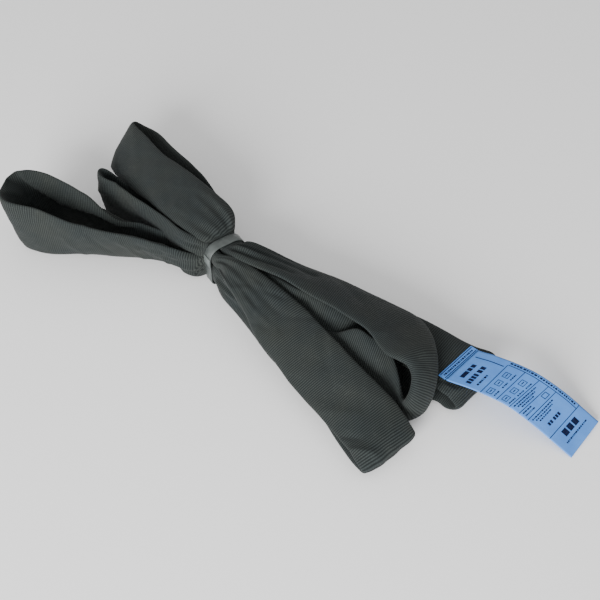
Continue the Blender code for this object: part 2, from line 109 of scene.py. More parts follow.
# Stations: the strand's two edges and its thickness. On a standing strand the first edge is the lower one.
ROUTES = {
    "a": [
        *root("a_to_d", -1),
        ((-27, -10.5, 1), (-27, -7, 27.5), 9),
        ((-36.5, -13.8, 1), (-37, -13, 29.5), 9),
        ((-50, -11.5, 1), (-52, -20.5, 34), 9),
        ((-75, -17, 1), (-77, -32, 39.5), 8.5),
        ((-102, -31, 1), (-103, -47, 45.5), 8.5),
        ((-132, -50.5, 1), (-131, -61.5, 53), 8.5),
        ((-162, -70, 1), (-160, -70.5, 60), 8.5),
        ((-184, -76, 1), (-192, -80.5, 62), 8),
        ((-193, -70, 1), (-206, -75, 62), 7.5),
        ((-195, -60, 2), (-213, -60, 61.5), 7.5),
        ((-192, -50, 4), (-215, -47, 61.5), 7.5),
        ((-184, -42, 6), (-208, -38, 62), 8),
        ((-166, -33, 7), (-189, -30.5, 61), 8.5),
        ((-148, -28, 6), (-166, -26, 58), 8.5),
        ((-128, -25, 3), (-141, -21, 50), 8.5),
        ((-106, -19, 1.5), (-114, -18, 36.5), 8.5),
        ((-84, -9, 1.5), (-86, -11.5, 34.5), 9),
        ((-66, -1, 1.5), (-66, -6, 32.5), 9.5),
        ((-48, 5, 1.5), (-48, 1, 27), 10.5),
        *reversed(root("a_to_e", -1)),
    ],
    "b": [
        *root("b_to_d", -1),
        ((-35, -6.5, 24), (-35, -5, 46), 9),
        ((-52, -6, 19), (-52, -4, 46), 8),
        ((-70, -3.5, 15), (-68, -2, 46.5), 7.5),
        ((-88, 0, 9), (-86, -0.5, 47), 7.5),
        ((-108, 2, 4), (-108, 1.5, 48.5), 7.5),
        ((-130, 2.5, 2), (-132, 4, 50), 7),
        ((-147, 1.5, 2), (-153, 3, 51), 6.5),
        ((-152.5, 6.5, 2), (-160, 8.5, 51), 6.5),
        ((-149, 12.5, 2), (-156, 14.5, 48), 6.5),
        ((-136, 15, 1.5), (-139, 17.5, 38), 7),
        ((-118, 16, 1.5), (-118, 18.5, 35.5), 7),
        ((-98, 16, 2), (-98, 17, 35), 7.5),
        ((-78, 14, 6), (-78, 14, 35), 8),
        ((-58, 11, 12), (-58, 11, 34.5), 9),
        ((-38, 8, 17), (-38, 8, 34.5), 10),
        *reversed(root("b_to_f", -1)),
    ],
    "c": [
        *root("c_to_e", -1),
        ((-24, -3.5, 45), (-20, 38, 49), 8),
        ((-46, -2, 46), (-40, 43.5, 53), 8),
        ((-70, 2, 45), (-65, 48.5, 55.5), 8),
        ((-98, 9.5, 42.5), (-93, 53.5, 56), 8),
        ((-126, 15.5, 38.5), (-121, 58.5, 55.5), 8),
        ((-152, 25, 34), (-149, 67.5, 54), 8),
        ((-168, 32.5, 30.5), (-172, 76, 52.5), 7),
        ((-173.5, 38, 26), (-178.5, 80, 51), 6),
        ((-174, 48, 14), (-178.5, 84.5, 48.5), 6),
        ((-167, 58, 5), (-168, 85.5, 47), 7),
        ((-152, 62, 1.5), (-151, 84.5, 47), 8),
        ((-124, 57, 1), (-122, 75.5, 47.5), 8),
        ((-96, 52, 1), (-94, 68.5, 48), 8),
        ((-70, 46, 1), (-68, 60, 47), 8.5),
        ((-48, 36, 1.5), (-46, 49.5, 43), 9),
        ((-30, 27, 1.8), (-30, 34, 37), 10),
        *reversed(root("c_to_f", -1)),
    ],
    "d": [
        *root("b_to_d", 1),
        ((18, -25, 36), (14, -3.5, 45.5), 9),
        ((36, -33, 33), (32, -3, 44.5), 8.5),
        ((54, -41, 29), (52, -5.5, 43.5), 8.5),
        ((74, -53, 23.5), (91, -12, 41), 8.5),
        ((97, -62, 20.5), (117, -19, 40), 8.5),
        ((135, -75.5, 17), (155, -31.5, 37), 8.5),
        ((171, -87, 15.5), (189, -39.5, 32), 8.5),
        ((195, -96, 15), (213, -45, 27), 8.5),
        ((211, -103, 13.5), (230, -52, 22), 8.5),
        ((219, -104.5, 8), (237, -55, 16), 8.5),
        ((211, -101, 4), (228, -51, 8), 8.5),
        ((195, -95, 3.5), (209, -47, 5), 8.5),
        ((165, -80, 4), (180, -38, 5), 8.5),
        ((128, -62, 4), (140, -27, 6), 8.5),
        ((90, -52, 3), (96, -20, 8), 9),
        ((60, -39, 2.5), (62, -18, 12), 9.5),
        ((34, -28, 1.5), (36, -13, 17), 10),
        ((12, -19, 1.5), (14, -11, 24), 10),
        *reversed(root("a_to_d", 1)),
    ],
    "e": [
        *root("c_to_e", 1),
        ((14, -4, 47), (16, 22, 44), 8.5),
        ((31, -4, 48.5), (30, 26, 40), 8.5),
        ((50, -3, 49.5), (48, 31, 34), 8.5),
        ((69, -2, 50), (64, 35, 30), 8.5),
        ((107, -3.5, 50), (98, 41, 29), 8.5),
        ((133, -4.5, 50), (128, 44, 28), 8.5),
        ((155, -6, 49), (158, 45, 28), 9),
        ((171, -13, 47), (183, 43, 29), 10),
        ((184, -17.5, 46), (203, 28, 35), 11),
        ((196, -17, 46.5), (215, 13, 39), 11.5),
        ((205, -17.5, 46), (222, 3, 35.5), 11.5),
        ((212.5, -22.5, 43.5), (227.5, -8, 31), 11.5),
        ((217, -31, 37.5), (230.5, -19, 22), 11.5),
        ((217, -38, 30), (229, -29, 11), 11),
        ((211.5, -35, 24), (220, -41, 5), 9),
        ((202, -24.5, 29), (209, -45, 4), 8),
        ((191, -14, 34), (197, -45, 5), 8),
        ((178, -8.5, 41), (184, -42, 9), 8),
        ((164, -8, 43), (170, -37, 12), 8),
        ((148, -7.5, 43), (153, -32, 12), 8),
        ((131, -15, 33), (134, -27, 8), 8),
        ((112, -14, 24), (113, -21, 3), 9),
        ((92, -14, 20), (92, -15, 1.5), 10),
        ((60, -9, 20), (60, -9, 1.5), 11),
        ((38, -5, 20), (38, -5, 1.5), 11),
        *reversed(root("a_to_e", 1, swapped=True)),
    ],
    "f": [
        *root("b_to_f", 1),
        ((20, -6, 22), (20, -2, 40), 10),
        ((40, -7, 23), (40, 1, 41), 9),
        ((62, -9, 23), (60, 2, 42), 8.5),
        ((86, -14, 24), (84, 2, 42), 8.5),
        ((110, -17, 27), (107, 4, 42), 8),
        ((132, -15, 27), (129, 11, 40), 7.5),
        ((150, -6, 22), (148, 30, 33), 8),
        ((168, -1, 19), (168, 43, 29), 8.5),
        ((188, -1, 18.5), (190, 47, 26.5), 9),
        ((210, -3, 20), (212, 47.5, 24.5), 9.5),
        ((230, -5.5, 19), (234, 49, 22), 10),
        ((244, -6, 14.5), (249, 53, 20.5), 9),
        ((250, -8, 9.5), (257.5, 52, 12.5), 8.5),
        ((242, -9, 5), (248, 52, 5.2), 9),
        ((228, -9, 6), (230, 48, 5.2), 10),
        ((205, -24, 4.8), (206, 33, 4.8), 9),
        ((176, -20, 4.5), (178, 32, 5), 8.5),
        ((140, -6, 3), (142, 32, 8), 9),
        ((105, 4, 2.5), (106, 34, 12), 9.5),
        ((70, 10, 2), (70, 30, 18), 10),
        ((40, 14, 1.8), (40, 26, 26), 10),
        *reversed(root("c_to_f", 1)),
    ],
}
BODY = {"a": "lobe_a", "b": "waist", "c": "lobe_c", "d": "lobe_d", "e": "lobe_ef", "f": "lobe_ef"}
RING_STEP = 1.6  # between two rings of a lobe
PASSAGE_RING_STEP = 0.7  # and of a passage under the tie
LABEL_RING_STEP = 0.8  # and of the label's path
FACE_POINTS = 37  # across each of the sleeve's two faces
EDGE_HALF = 0.9  # half the thickness of the sleeve's creased edge
THINNEST_HALF = 0.35  # half the thickness that no section goes under
THINNEST_PUFFED_HALF = 0.3  # and that none goes under once its puff is added
CORE_INSET = 2.7  # from the sleeve's outside to the yarn


# ---------------------------------------------------------------- lofting


def spline(values, t):
    """The Catmull-Rom curve through rows of values, at an array of station numbers."""
    values = np.asarray(values, float)
    i = np.minimum(t.astype(int), len(values) - 2)
    u = (t - i)[:, None]
    b, c = values[i], values[i + 1]
    a = np.where((i > 0)[:, None], values[np.maximum(i - 1, 0)], 2 * b - c)
    last = len(values) - 1
    d = np.where((i + 2 <= last)[:, None], values[np.minimum(i + 2, last)], 2 * c - b)
    return 0.5 * (2 * b + (c - a) * u + (2 * a - 5 * b + 4 * c - d) * u**2 + (3 * b - a - 3 * c + d) * u**3)


def unit(rows):
    return rows / np.linalg.norm(rows, axis=1, keepdims=True)


class Path:
    """A strand's stations, resampled evenly: centres, directions, sizes and the distance run."""

    def __init__(self, stations, step):
        rows = np.array([(*first, *second, thickness) for first, second, thickness in stations], float)
        fine = np.linspace(0, len(rows) - 1, len(rows) * 40)
        walked = spline((rows[:, :3] + rows[:, 3:6]) / 2, fine)
        run = np.concatenate(([0], np.cumsum(np.linalg.norm(np.diff(walked, axis=0), axis=1))))
        count = int(run[-1] / step) + 1
        self.run = np.linspace(0, run[-1], count)
        self.t = np.interp(self.run, run, fine)
        self.length = run[-1]
        at = spline(rows, self.t)
        self.centre = (at[:, :3] + at[:, 3:6]) / 2
        wide = at[:, 3:6] - at[:, :3]
        self.width, self.depth = np.linalg.norm(wide, axis=1), at[:, 6]
        self.wide = wide / self.width[:, None]
        along = unit(np.gradient(self.centre, axis=0))
        self.thick = unit(np.cross(along, self.wide))


def smooth(x):
    x = np.clip(x, 0, 1)
    return x * x * (3 - 2 * x)


def waves(seed, u, v, longest_u, longest_v, octaves=3):
    """Soft noise between about -1 and 1 over two coordinates, from seeded sine waves."""
    draw = np.random.default_rng(seed)
    total = np.zeros(np.broadcast(u, v).shape)
    for octave in range(octaves):
        for _ in range(4):
            turn_u, turn_v = draw.uniform(0.4, 1.0, 2) * draw.choice((-1, 1), 2) * 2**octave
            phase = draw.uniform(0, math.tau)
            cycles = u * turn_u / longest_u + v * turn_v / longest_v
            total = total + np.sin(math.tau * cycles + phase) / 2**octave
    return total / 4


def flatness(path):
    """0 where the sleeve is bunched round, 1 where it lies flat."""
    return smooth((path.width / path.depth - 1.8) / 2.2)


def half_depth(path, w, inset):
    """Half the section's thickness over the rings and across the width w, from -1 to 1."""
    flat = flatness(path)[:, None]
    round_profile = np.sqrt(np.clip(1 - w**2, 0, 1)) ** 0.8
    flat_profile = np.clip(1 - np.abs(w) ** 3.2, 0, 1) ** 0.8
    profile = round_profile * (1 - flat) + flat_profile * flat
    half = path.depth[:, None] / 2
    return np.maximum(EDGE_HALF + (half - EDGE_HALF) * profile - inset, THINNEST_HALF)


def loft(path, look, inset=0.0):
    """The rings of one strand as an array of rings x points x 3, in millimetres."""
    turn = np.linspace(-math.pi / 2, math.pi / 2, FACE_POINTS)
    w = np.sin(turn)
    w = np.sign(w) * np.abs(w) ** 0.9
    flutter = 0.6 * waves(3, path.run, path.width, 45.0, 60.0, 2) * smooth((path.width - 25) / 20)
    flutter = flutter * beyond_tie(path)[:, 0]
    half_width = (path.width / 2 + flutter)[:, None] - inset * 1.6
    angle, lift, puff = look(path, w[None, :] * half_width / (path.width / 2)[:, None])
    # the section's middle line, bent by the angle at each point of its width
    step = np.diff(w)[None, :] * half_width
    mid_angle = (angle[:, 1:] + angle[:, :-1]) / 2
    a = np.concatenate((np.zeros((len(path.run), 1)), np.cumsum(np.cos(mid_angle) * step, axis=1)), axis=1)
    b = np.concatenate((np.zeros((len(path.run), 1)), np.cumsum(np.sin(mid_angle) * step, axis=1)), axis=1)
    middle = FACE_POINTS // 2
    a, b = a - a[:, middle : middle + 1], b - b[:, middle : middle + 1]
    b = b + lift
    half = np.maximum(half_depth(path, w[None, :], inset) + puff, THINNEST_PUFFED_HALF)
    out_a, out_b = -np.sin(angle) * half, np.cos(angle) * half
    nose = EDGE_HALF * 0.8
    top = np.stack((a + out_a, b + out_b), axis=2)
    low = np.stack((a - out_a, b - out_b), axis=2)[:, ::-1]
    tip = np.stack((a[:, -1] + np.cos(angle[:, -1]) * nose, b[:, -1] + np.sin(angle[:, -1]) * nose), axis=1)
    tail = np.stack((a[:, 0] - np.cos(angle[:, 0]) * nose, b[:, 0] - np.sin(angle[:, 0]) * nose), axis=1)
    flat = np.concatenate((top, tip[:, None], low, tail[:, None]), axis=1)
    points = path.centre[:, None] + flat[..., :1] * path.wide[:, None] + flat[..., 1:] * path.thick[:, None]
    points = gripped(points, inset)
    points[..., 2] = np.maximum(points[..., 2], FLOOR_CLEARANCE)
    return points


def gripped(points, inset):
    """The cloth that the tie can slide over, drawn in to lie inside the tie."""
    local = points - WAIST_CENTRE
    along, across, up = local @ ALONG, local @ ACROSS, local[..., 2] - GRIP_HEIGHT
    ring = np.array(tie_line(-TIE_THICKNESS - GRIP_CLEARANCE - GRIP_INSET_SHARE * inset))[:, :2]
    ring = ring - (0, GRIP_HEIGHT)
    angles = np.arctan2(ring[:, 1], ring[:, 0])
    limit = np.interp(np.arctan2(up, across), angles, np.hypot(ring[:, 0], ring[:, 1]), period=math.tau)
    held = smooth((GRIP_END - np.abs(along)) / GRIP_FADE)
    share = 1 - held * np.clip(1 - limit / np.maximum(np.hypot(across, up), 1e-6), 0, 1)
    height = (GRIP_HEIGHT + up * share)[..., None] * np.array((0, 0, 1.0))
    return WAIST_CENTRE + along[..., None] * ALONG + (across * share)[..., None] * ACROSS + height


def around(points):
    """The distance round each ring, averaged, for the weave's crosswise coordinate."""
    closed = np.concatenate((points, points[:, :1]), axis=1)
    steps = np.linalg.norm(np.diff(closed, axis=1), axis=2).mean(axis=0)
    return np.concatenate(([0], np.cumsum(steps)))


def tube_mesh(name, points, run, material, endless=False):
    """A closed mesh over rings of points, with the run and the distance round as its UV map, in metres."""
    if endless:
        points = np.concatenate((points, points[:1]))
        run = np.append(run, run[-1] + np.linalg.norm(points[-1, 0] - points[-2, 0]))
    rings, n = points.shape[:2]
    across = around(points)
    placed = (points - ORIGIN) * MM
    mesh = bpy.data.meshes.new(name)
    index = np.arange(rings * n).reshape(rings, n)
    quads = [
        (index[r, k], index[r, (k + 1) % n], index[r + 1, (k + 1) % n], index[r + 1, k])
        for r in range(rings - 1)
        for k in range(n)
    ]
    caps = [] if endless else [tuple(index[0][::-1]), tuple(index[-1])]
    mesh.from_pydata(placed.reshape(-1, 3).tolist(), [], quads + caps)
    uv = mesh.uv_layers.new(name="weave")
    k = np.arange(n)
    u = np.broadcast_to(run[:, None], (rings, n + 1)) * MM
    v = np.broadcast_to(across[None, :], (rings, n + 1)) * MM
    grid = np.stack((u, v), axis=2)
    corners = np.stack((grid[:-1, k], grid[:-1, k + 1], grid[1:, k + 1], grid[1:, k]), axis=2).reshape(-1, 2)
    ends = [] if endless else [grid[0, k][::-1], grid[-1, k]]
    uv.data.foreach_set("uv", np.concatenate((corners, *ends)).astype(np.float32).ravel())
    mesh.materials.append(material)
    mesh.shade_smooth()
    mesh.validate()
    made = bpy.data.objects.new(name, mesh)
    bpy.context.scene.collection.objects.link(made)
    tidy = bmesh.new()
    tidy.from_mesh(mesh)
    if endless:
        bmesh.ops.remove_doubles(tidy, verts=tidy.verts, dist=1e-6)
    bmesh.ops.recalc_face_normals(tidy, faces=tidy.faces)
    tidy.to_mesh(mesh)
    tidy.free()
    return made


# ---------------------------------------------------------------- how each lobe's cloth lies


def from_tie(path):
    """The distance to the nearer of the strand's two ends, which are both at the tie."""
    return np.minimum(path.run, path.length - path.run)


def beyond_tie(path):
    """0 where the tie can slide over the lobe, 1 beyond."""
    return smooth((from_tie(path) - UNGRIPPED_FROM) / UNGRIPPED_OVER)[:, None]


def waist_pleats(path, w, seed, depth=1.0, reach=70.0):
    """Lengthwise pleats that run out of the tie and die away."""
    fade = smooth(1 - (from_tie(path) - PLEATS_FADE_FROM) / reach)[:, None]
    side = np.where(path.run < path.length / 2, 0.0, 1.7)[:, None]
    rows = np.sin(w * 7.5 + side + seed) + 0.6 * np.sin(w * 12.0 - side * 2 + seed * 2.3)
    return depth * fade * rows * (1 - w**4)


def slack(path, w, seed, depth=0.7):
    """The gentle unevenness of a limp, half-filled sleeve."""
    across = w * path.width[:, None] / 2
    quiet = smooth(from_tie(path) / UNEVEN_OVER)[:, None]
    return depth * quiet * waves(seed, path.run[:, None] + 0 * w, across, 95.0, 60.0)


def plain(seed, pleats=1.0, unevenness=0.7):
    def look(path, w):
        lift = waist_pleats(path, w, seed, pleats) + slack(path, w, seed, unevenness)
        angle = 0.05 * waves(seed + 50, path.run[:, None] + 0 * w, w * 30, 120.0, 90.0, 2)
        puff = 0.25 * waves(seed + 90, path.run[:, None] + 0 * w, w * path.width[:, None] / 2, 40.0, 25.0, 2)
        clear = beyond_tie(path)
        return angle * clear, lift * clear, puff * (1 - w**2) * clear

    return look


# Creases: from one station and place across the width to another, how far the cloth moves and over what
# width. A place across the width is -1 at the strand's first edge and 1 at its second.
CREASES = {
    "a": [
        (3, -0.6, 5.6, 0.1, -1.6, 3.5),
        (3.4, 0.7, 6.2, 0.25, -1.4, 3),
        (4.6, -0.9, 5.4, 0.8, 0.9, 3),
        (6.3, -0.8, 6.7, 0.6, -0.9, 3.5),
        (7.2, -0.4, 7.7, 0.9, 0.9, 3),
        (8, -0.9, 8.4, 0.2, -0.9, 3),
        (5.4, -0.8, 5.8, 0.7, -0.7, 2),
        (5.9, -0.7, 6.1, 0.5, 0.7, 2),
        (12.2, 0.9, 14.2, 0.1, -3.5, 3.5),
        (11.4, 0.9, 13.4, -0.2, 1.8, 3),
        (15.5, 0.2, 16.5, 0.9, 1.0, 4),
    ],
    "b": [
        (8.2, 0.95, 9.3, 0.55, 1.4, 2.6),
        (8.4, 0.5, 9.4, 0.2, -1.3, 2.6),
        (3, 0.3, 6, 0.6, -1.3, 3),
        (3, -0.4, 5.6, 0, -1.4, 3),
        (6, -0.8, 7.6, 0.6, 0.8, 6),
    ],
    "c": [
        (2.5, -0.7, 5, -0.55, -1.5, 3.5),
        (2.5, 0.1, 4.6, 0.3, -1.3, 3),
        (2.5, 0.7, 4.2, 0.8, -1.2, 3),
        (5, 0.5, 6.6, -0.3, -0.8, 5),
        (6.6, 0.9, 8, -0.1, 0.8, 6),
    ],
    "d": [
        (2.5, -0.6, 5.2, -0.35, -1.9, 3),
        (2.5, -0.1, 5.8, 0.2, -1.7, 3),
        (2.5, 0.5, 5, 0.62, -1.4, 2.8),
        (3.6, -0.9, 4.8, 0.3, 1.0, 3),
        (5.4, -0.95, 6.4, -0.2, -0.9, 4),
        (7.2, 0.95, 7.9, 0.2, -0.8, 5),
        (8.6, -0.95, 9.4, -0.1, 0.8, 5),
        (4, -0.2, 5.6, 0.75, -1.1, 2.2),
        (4.6, -0.6, 6.4, -0.3, 0.9, 2.4),
        (6, 0.2, 6.7, 0.95, -0.7, 3),
        (9.7, -0.9, 10.2, -0.55, -1.6, 2.4),
        (10.3, -0.98, 11.2, -0.45, 2.2, 3),
        (11.2, 0.95, 11.8, 0.4, -1.2, 4),
    ],
    "e": [
        (2.5, -0.6, 6, -0.45, -1.4, 3),
        (2.5, 0.1, 6.5, 0.2, -1.5, 3),
        (2.5, 0.6, 5.4, 0.7, -1.3, 3),
        (7, 0.8, 8.6, -0.3, -0.8, 6),
        (9.6, -0.9, 10.6, 0.1, 1.2, 5),
        (19.2, -0.9, 19.9, 0.6, -1.2, 4),
    ],
    "f": [
        (3, -0.5, 6, -0.2, -1.4, 3),
        (3, 0.5, 6.4, 0.4, -1.2, 3),
        (6.2, 0.6, 7.5, -0.5, -2.4, 6),
        (13.6, -0.95, 14.3, -0.4, 2.0, 3),
        (13.8, 0.9, 14.4, 0.2, -1.4, 3.5),
        (11.8, -0.95, 13.2, -0.7, -2.2, 2.6),
        (12.2, -0.6, 13.6, -0.8, 1.4, 2.4),
    ],
}


def creases(path, w, key):
    """How far the creases of a lobe push its cloth, over the rings and across the width."""
    across = w * path.width[:, None] / 2
    run = path.run[:, None] + 0 * w
    total = 0 * run
    for t0, w0, t1, w1, depth, wide in CREASES[key]:
        run0, run1, width0, width1 = (
            np.interp(t, path.t, values) for values in (path.run, path.width) for t in (t0, t1)
        )
        start = np.array((run0, w0 * width0 / 2))
        reach = np.array((run1, w1 * width1 / 2)) - start
        share = ((run - start[0]) * reach[0] + (across - start[1]) * reach[1]) / (reach @ reach)
        held = np.clip(share, 0, 1)
        off = np.hypot(run - start[0] - held * reach[0], across - start[1] - held * reach[1])
        total = total + depth * np.exp(-((off / wide) ** 1.5))
    return total


# Ledges: a line of (station, place across the width) past which the cloth stands out over the rest.
LEDGES = {
    "a": ([(13, 0.85), (14, 0.5), (15, 0.2), (16, 0.15), (16.8, 0.35), (17.5, 0.62), (18.8, 0.8)], 6.5),
}


def ledge(path, w, key):
    """How far the cloth beyond a ledge's line stands out, fading at the line's ends."""
    if key not in LEDGES:
        return 0
    line, depth = LEDGES[key]
    stations, places = zip(*line)
    reach = smooth((path.t - stations[0]) / 0.8) * smooth((stations[-1] - path.t) / 0.8)
    past = (w - np.interp(path.t, stations, places)[:, None]) * path.width[:, None] / 2
    return depth * reach[:, None] * (smooth(0.5 + past / 2.2) - 0.6 * smooth(past / 20))


def creased(key, seed, pleats=1.3, unevenness=0.8):
    smoother = plain(seed, pleats, unevenness)

    def look(path, w):
        angle, lift, puff = smoother(path, w)
        across = w * path.width[:, None] / 2
        crinkle = 0.3 * waves(seed + 7, path.run[:, None] + 0 * w, across, 26.0, 20.0, 2)
        folds = creases(path, w, key) + ledge(path, w, key) + crinkle * (1 - w**8)
        return angle, lift + folds * beyond_tie(path), puff

    return look


LOOKS = {key: creased(key, seed) for key, seed in zip("abcdef", (11, 23, 31, 47, 59, 61))}


# ---------------------------------------------------------------- materials


class Nodes:
    """Short ways to add shader nodes to a new material."""

    def __init__(self, name):
        self.material = bpy.data.materials.new(name)
        self.material.use_nodes = True
        self.tree = self.material.node_tree
        self.shader = self.tree.nodes["Principled BSDF"]

    def add(self, kind, **settings):
        node = self.tree.nodes.new(kind)
        for key, value in settings.items():
            setattr(node, key, value)
        return node

    def link(self, source, target):
        self.tree.links.new(source, target)

    def value(self, socket, value):
        if hasattr(value, "is_linked") or isinstance(value, bpy.types.NodeSocket):
            self.link(value, socket)
        else:
            socket.default_value = value

    def math(self, operation, a, b=0.0, c=0.0):
        node = self.add("ShaderNodeMath", operation=operation)
        for socket, value in zip(node.inputs, (a, b, c)):
            self.value(socket, value)
        return node.outputs[0]

    def uv(self, name):
        node = self.add("ShaderNodeUVMap", uv_map=name)
        split = self.add("ShaderNodeSeparateXYZ")
        self.link(node.outputs[0], split.inputs[0])
        return split.outputs[0], split.outputs[1]

    def noise(self, scale, detail=2.0, roughness=0.5):
        place = self.add("ShaderNodeTexCoord")
        node = self.add("ShaderNodeTexNoise")
        self.link(place.outputs["Object"], node.inputs["Vector"])
        node.inputs["Scale"].default_value = scale
        node.inputs["Detail"].default_value = detail
        node.inputs["Roughness"].default_value = roughness
        return node.outputs["Fac"]

    def ramp(self, factor, stops):
        node = self.add("ShaderNodeValToRGB")
        self.link(factor, node.inputs[0])
        elements = node.color_ramp.elements
        while len(elements) < len(stops):
            elements.new(0.5)
        for element, (place, colour) in zip(elements, stops):
            element.position = place
            element.color = (*colour, 1.0)
        return node.outputs[0]

    def mix(self, factor, a, b, blend="MIX"):
        node = self.add("ShaderNodeMix", data_type="RGBA", blend_type=blend)
        self.value(node.inputs[0], factor)
        for socket, value in ((node.inputs[6], a), (node.inputs[7], b)):
            self.value(socket, (*value, 1.0) if isinstance(value, tuple) else value)
        return node.outputs[2]

    def bump(self, height, distance, strength=1.0):
        node = self.add("ShaderNodeBump")
        node.inputs["Distance"].default_value = distance
        node.inputs["Strength"].default_value = strength
        self.link(height, node.inputs["Height"])
        self.link(node.outputs[0], self.shader.inputs["Normal"])


# The spacing of the weaves' threads and marks, in metres.
RIB_PITCH = 0.0019
YARN_PITCH = 0.0016
RIB_WANDER = 0.0016
CORE_STRAND_PITCH, CORE_TWIST_PITCH = 0.0011, 0.006
TIE_MARK_PITCH, TIE_GRAIN_PITCH = 0.0009, 0.0012
LABEL_THREAD_PITCH = 0.0007


def sleeve_weave():
    """Charcoal polyester: fine crosswise ribs, each broken into yarn floats, over uneven dye and dust."""
    n = Nodes("sleeve_weave")
    run, across = n.uv("weave")
    wander = n.math("MULTIPLY_ADD", n.noise(55.0, 2.0), RIB_WANDER, -RIB_WANDER / 2)
    rib_turns = n.math("DIVIDE", n.math("ADD", run, wander), RIB_PITCH)
    rib = n.math("SINE", n.math("MULTIPLY", rib_turns, math.tau))
    rib = n.math("MULTIPLY_ADD", rib, 0.5, 0.5)
    row = n.math("MULTIPLY", n.math("FLOOR", rib_turns), 0.5)
    yarn_turns = n.math("ADD", n.math("DIVIDE", across, YARN_PITCH), row)
    yarn = n.math("SINE", n.math("MULTIPLY", yarn_turns, math.tau))
    yarn = n.math("MULTIPLY_ADD", yarn, 0.5, 0.5)
    weave = n.math("MULTIPLY", n.math("POWER", rib, 0.8), n.math("MULTIPLY_ADD", yarn, 0.25, 0.75))
    dye = n.noise(28.0, 3.0)
    dust = n.noise(260.0, 4.0, 0.7)
    ribs = [(0.0, (0.006, 0.008, 0.008)), (0.45, (0.016, 0.019, 0.019)), (1.0, (0.033, 0.039, 0.037))]
    colour = n.ramp(weave, ribs)
    cast = n.ramp(dye, [(0.3, (0.86, 0.92, 0.96)), (0.7, (1.12, 1.10, 1.02))])
    colour = n.mix(1.0, colour, cast, "MULTIPLY")
    speck = n.ramp(dust, [(0.55, (0.0, 0.0, 0.0)), (0.8, (0.010, 0.011, 0.010))])
    colour = n.mix(1.0, colour, speck, "ADD")
    n.link(colour, n.shader.inputs["Base Color"])
    n.value(n.shader.inputs["Roughness"], 0.82)
    n.value(n.shader.inputs["Specular IOR Level"], 0.15)
    n.value(n.shader.inputs["Sheen Weight"], 0.05)
    n.value(n.shader.inputs["Sheen Roughness"], 0.5)
    n.bump(weave, 0.00035, 0.8)
    return n.material


def core_yarn():
    n = Nodes("core_yarn_strands")
    run, across = n.uv("weave")
    strand = n.math("SINE", n.math("MULTIPLY", across, math.tau / CORE_STRAND_PITCH))
    lean = n.math("MULTIPLY", across, 900.0)
    slant = n.math("SINE", n.math("MULTIPLY_ADD", run, math.tau / CORE_TWIST_PITCH, lean))
    weave = n.math("MULTIPLY_ADD", n.math("MULTIPLY", strand, slant), 0.5, 0.5)
    colour = n.ramp(weave, [(0.0, (0.45, 0.44, 0.40)), (1.0, (0.80, 0.79, 0.74))])
    n.link(colour, n.shader.inputs["Base Color"])
    n.value(n.shader.inputs["Roughness"], 0.7)
    n.bump(weave, 0.0003, 0.7)
    return n.material


def cloth_tape():
    n = Nodes("core_tape_cloth")
    grain = n.noise(900.0, 2.0)
    colour = n.ramp(grain, [(0.3, (0.50, 0.50, 0.45)), (0.7, (0.68, 0.67, 0.62))])
    n.link(colour, n.shader.inputs["Base Color"])
    n.value(n.shader.inputs["Roughness"], 0.65)
    n.bump(grain, 0.0002, 0.5)
    return n.material


def tie_plastic(name="tie_strap_plastic", shade=1.0):
    """Grey polypropylene strap with fine lengthwise drawing marks and an embossed grain."""
    n = Nodes(name)
    run, across = n.uv("weave")
    marks = n.math("SINE", n.math("MULTIPLY", across, math.tau / TIE_MARK_PITCH))
    grain = n.math("SINE", n.math("MULTIPLY", run, math.tau / TIE_GRAIN_PITCH))
    relief = n.math("MULTIPLY_ADD", n.math("MULTIPLY", marks, grain), 0.5, 0.5)
    mottle = n.noise(160.0, 3.0)
    tones = (0.045, 0.052, 0.050), (0.070, 0.080, 0.077)
    dark, light = (tuple(c * shade for c in tone) for tone in tones)
    colour = n.ramp(mottle, [(0.3, dark), (0.7, light)])
    n.link(colour, n.shader.inputs["Base Color"])
    n.value(n.shader.inputs["Roughness"], 0.38)
    n.bump(relief, 0.00012, 0.6)
    return n.material


def label_cloth():
    n = Nodes("label_cloth")
    run, across = n.uv("weave")
    warp = n.math("SINE", n.math("MULTIPLY", run, math.tau / LABEL_THREAD_PITCH))
    weft = n.math("SINE", n.math("MULTIPLY", across, math.tau / LABEL_THREAD_PITCH))
    cloth = n.math("MULTIPLY_ADD", n.math("MULTIPLY", warp, weft), 0.5, 0.5)
    blotch = n.noise(70.0, 3.0)
    colour = n.ramp(blotch, [(0.3, (0.055, 0.20, 0.57)), (0.7, (0.075, 0.25, 0.66))])
    n.link(colour, n.shader.inputs["Base Color"])
    n.value(n.shader.inputs["Roughness"], 0.5)
    n.bump(cloth, 0.00008, 0.4)
    return n.material


def ink():
    n = Nodes("label_ink")
    wear = n.noise(600.0, 3.0)
    colour = n.ramp(wear, [(0.35, (0.002, 0.004, 0.022)), (0.75, (0.007, 0.014, 0.055))])
    n.link(colour, n.shader.inputs["Base Color"])
    n.value(n.shader.inputs["Roughness"], 0.7)
    n.value(n.shader.inputs["Specular IOR Level"], 0.1)
    return n.material


def thread():
    n = Nodes("label_thread_twist")
    place = n.add("ShaderNodeTexCoord")
    wave = n.add("ShaderNodeTexWave", wave_type="BANDS", bands_direction="DIAGONAL")
    n.link(place.outputs["Object"], wave.inputs["Vector"])
    wave.inputs["Scale"].default_value = 900.0
    colour = n.ramp(wave.outputs["Fac"], [(0.2, (0.003, 0.006, 0.03)), (0.8, (0.012, 0.02, 0.07))])
    n.link(colour, n.shader.inputs["Base Color"])
    n.value(n.shader.inputs["Roughness"], 0.7)
    n.value(n.shader.inputs["Specular IOR Level"], 0.15)
    return n.material


